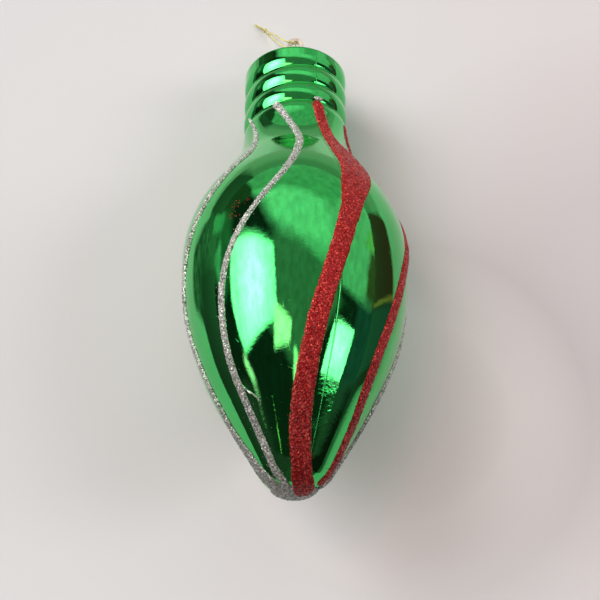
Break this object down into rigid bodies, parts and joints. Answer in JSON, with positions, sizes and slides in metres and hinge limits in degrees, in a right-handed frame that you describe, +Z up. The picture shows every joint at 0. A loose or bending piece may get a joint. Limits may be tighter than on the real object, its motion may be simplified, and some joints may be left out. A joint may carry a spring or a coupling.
{
  "type": "bulb-shaped hanging ornament",
  "caption": "Hollow light-bulb shaped hanging ornament with a screw-thread collar, raised glitter stripes and a knotted thread loop through a small eye.",
  "frame": {"origin": "on the surface that the bulb lies on, under the middle of its box without the thread", "axes": "+Z up from the surface; +Y from the rounded tip to the threaded collar, along the longest side; +X to the right seen from the tip"},
  "size_m": [0.0641, 0.1693, 0.0663],
  "materials": {
    "green_plating": "mirror-bright green metallised plating on clear plastic",
    "silver_glitter": "silver glitter glue, rough and sparkling",
    "red_glitter": "red glitter glue, rough and sparkling",
    "hanger_plastic": "pearly champagne plastic",
    "metallic_thread": "twisted gold metallic thread"
  },
  "bodies": {
    "bulb": {"shell_right": "green_plating", "shell_left": "green_plating", "hanger_plug": "hanger_plastic", "silver_stripe_1": "silver_glitter", "silver_stripe_2": "silver_glitter", "silver_stripe_3": "silver_glitter", "silver_stripe_4": "silver_glitter", "red_stripe_1": "red_glitter", "red_stripe_2": "red_glitter", "red_stripe_3": "red_glitter", "red_stripe_4": "red_glitter", "silver_pool": "silver_glitter"},
    "loop": {"thread_loop": "metallic_thread", "thread_knot": "metallic_thread"}
  },
  "joints": [
    {"name": "loop_swing", "type": "hinge", "parent": "bulb", "child": "loop", "pos_m": [0, 0.07615, 0.01122], "axis": [0, 0.2416, 0.9704], "range_deg": [-120, 60]}
  ]
}
